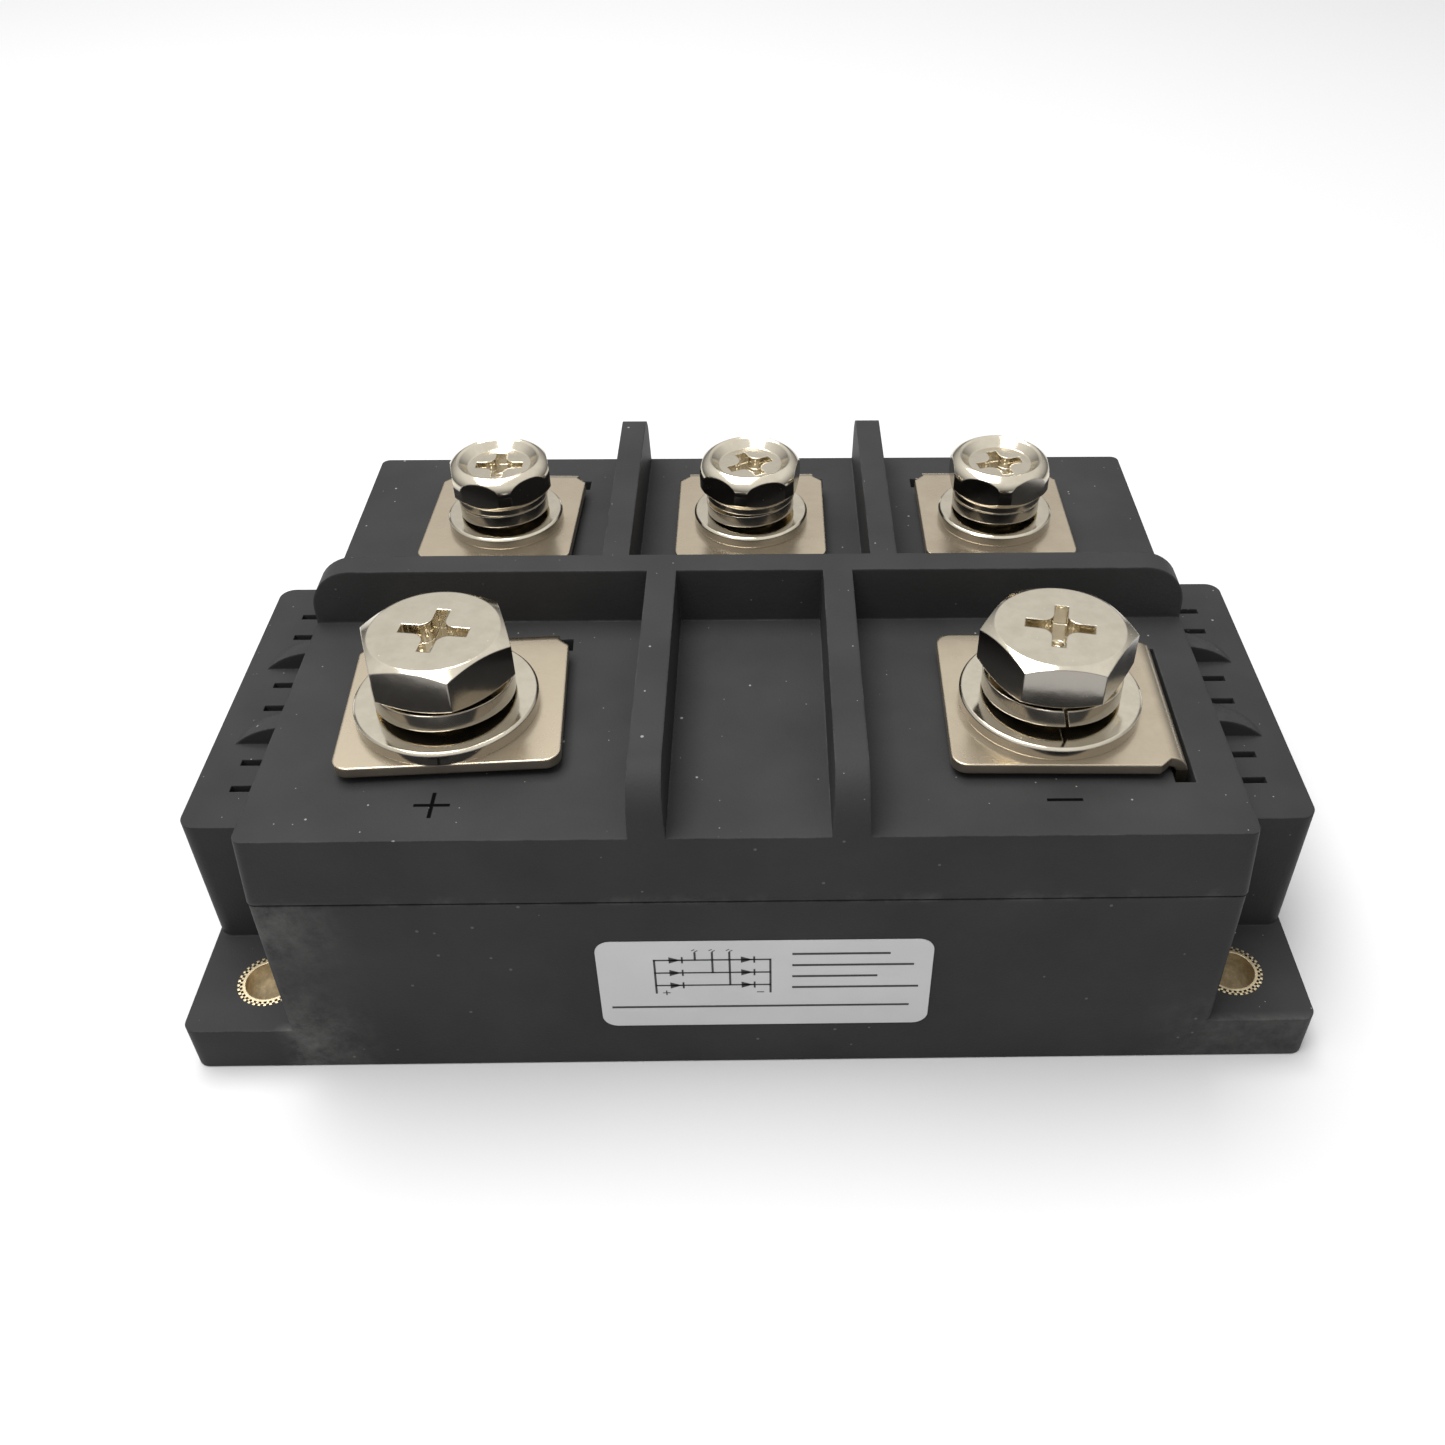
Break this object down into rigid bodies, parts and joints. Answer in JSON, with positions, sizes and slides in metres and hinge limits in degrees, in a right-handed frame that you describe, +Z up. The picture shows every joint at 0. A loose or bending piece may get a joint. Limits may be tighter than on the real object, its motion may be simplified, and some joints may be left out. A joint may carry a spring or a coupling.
{
  "type": "three phase bridge rectifier module",
  "caption": "Black moulded three phase bridge rectifier module with screw terminals, barrier ribs on its lid and mounting ears at both ends.",
  "frame": {"origin": "under the middle of the module, on the plane that it stands on", "axes": "+X along the module towards the minus terminal, +Y from the face with the label towards the three alternating current terminals, +Z up, out of the cooling face"},
  "size_m": [0.152, 0.0883, 0.0574],
  "materials": {
    "moulding": "matt, fine grain",
    "nickelled_copper": "satin",
    "nickelled_steel": "bright",
    "nut_steel": "satin",
    "bush_brass": "dull",
    "copper": "satin",
    "ceramic": "matt",
    "potting_gel": "soft",
    "label_film": "satin"
  },
  "bodies": {
    "module": {"housing": "moulding", "cover": "moulding", "base_plate": "nickelled_copper", "rating_label": "label_film", "potting": "potting_gel", "mounting_bush_front_left": "bush_brass", "mounting_bush_front_right": "bush_brass", "mounting_bush_rear_left": "bush_brass", "mounting_bush_rear_right": "bush_brass", "ceramic_tile_left": "ceramic", "upper_diode_left": "copper", "lower_diode_left": "copper", "ceramic_tile_middle": "ceramic", "upper_diode_middle": "copper", "lower_diode_middle": "copper", "ceramic_tile_right": "ceramic", "upper_diode_right": "copper", "lower_diode_right": "copper", "plus_busbar": "copper", "minus_busbar": "copper", "plus_terminal": "nickelled_copper", "minus_terminal": "nickelled_copper", "ac_left_terminal": "nickelled_copper", "ac_middle_terminal": "nickelled_copper", "ac_right_terminal": "nickelled_copper", "plus_nut": "nut_steel", "minus_nut": "nut_steel", "ac_left_nut": "nut_steel", "ac_middle_nut": "nut_steel", "ac_right_nut": "nut_steel"},
    "plus_washers": {"plus_flat_washer": "nickelled_steel", "plus_spring_washer": "nickelled_steel"},
    "plus_screw": {"plus_screw": "nickelled_steel"},
    "minus_washers": {"minus_flat_washer": "nickelled_steel", "minus_spring_washer": "nickelled_steel"},
    "minus_screw": {"minus_screw": "nickelled_steel"},
    "ac_left_washers": {"ac_left_flat_washer": "nickelled_steel", "ac_left_spring_washer": "nickelled_steel"},
    "ac_left_screw": {"ac_left_screw": "nickelled_steel"},
    "ac_middle_washers": {"ac_middle_flat_washer": "nickelled_steel", "ac_middle_spring_washer": "nickelled_steel"},
    "ac_middle_screw": {"ac_middle_screw": "nickelled_steel"},
    "ac_right_washers": {"ac_right_flat_washer": "nickelled_steel", "ac_right_spring_washer": "nickelled_steel"},
    "ac_right_screw": {"ac_right_screw": "nickelled_steel"}
  },
  "joints": [
    {"name": "plus_screw_lift", "type": "slide", "parent": "module", "child": "plus_washers", "axis": [0, 0, 1], "range_m": [0, 0.01125]},
    {"name": "plus_screw_turn", "type": "hinge", "parent": "plus_washers", "child": "plus_screw", "pos_m": [-0.0384, -0.0221, 0.0511], "axis": [0, 0, 1], "range_deg": [0, 2701]},
    {"name": "minus_screw_lift", "type": "slide", "parent": "module", "child": "minus_washers", "axis": [0, 0, 1], "range_m": [0, 0.01125]},
    {"name": "minus_screw_turn", "type": "hinge", "parent": "minus_washers", "child": "minus_screw", "pos_m": [0.0384, -0.0221, 0.0511], "axis": [0, 0, 1], "range_deg": [0, 2701]},
    {"name": "ac_left_screw_lift", "type": "slide", "parent": "module", "child": "ac_left_washers", "axis": [0, 0, 1], "range_m": [0, 0.00875]},
    {"name": "ac_left_screw_turn", "type": "hinge", "parent": "ac_left_washers", "child": "ac_left_screw", "pos_m": [-0.037, 0.022, 0.05], "axis": [0, 0, 1], "range_deg": [0, 2521]},
    {"name": "ac_middle_screw_lift", "type": "slide", "parent": "module", "child": "ac_middle_washers", "axis": [0, 0, 1], "range_m": [0, 0.00875]},
    {"name": "ac_middle_screw_turn", "type": "hinge", "parent": "ac_middle_washers", "child": "ac_middle_screw", "pos_m": [0, 0.022, 0.05], "axis": [0, 0, 1], "range_deg": [0, 2521]},
    {"name": "ac_right_screw_lift", "type": "slide", "parent": "module", "child": "ac_right_washers", "axis": [0, 0, 1], "range_m": [0, 0.00875]},
    {"name": "ac_right_screw_turn", "type": "hinge", "parent": "ac_right_washers", "child": "ac_right_screw", "pos_m": [0.037, 0.022, 0.05], "axis": [0, 0, 1], "range_deg": [0, 2521]}
  ],
  "couplings": [
    {"joint": "plus_screw_turn", "follows": "plus_screw_lift", "rad_per_m": 4188.8},
    {"joint": "minus_screw_turn", "follows": "minus_screw_lift", "rad_per_m": 4188.8},
    {"joint": "ac_left_screw_turn", "follows": "ac_left_screw_lift", "rad_per_m": 5026.5},
    {"joint": "ac_middle_screw_turn", "follows": "ac_middle_screw_lift", "rad_per_m": 5026.5},
    {"joint": "ac_right_screw_turn", "follows": "ac_right_screw_lift", "rad_per_m": 5026.5}
  ]
}
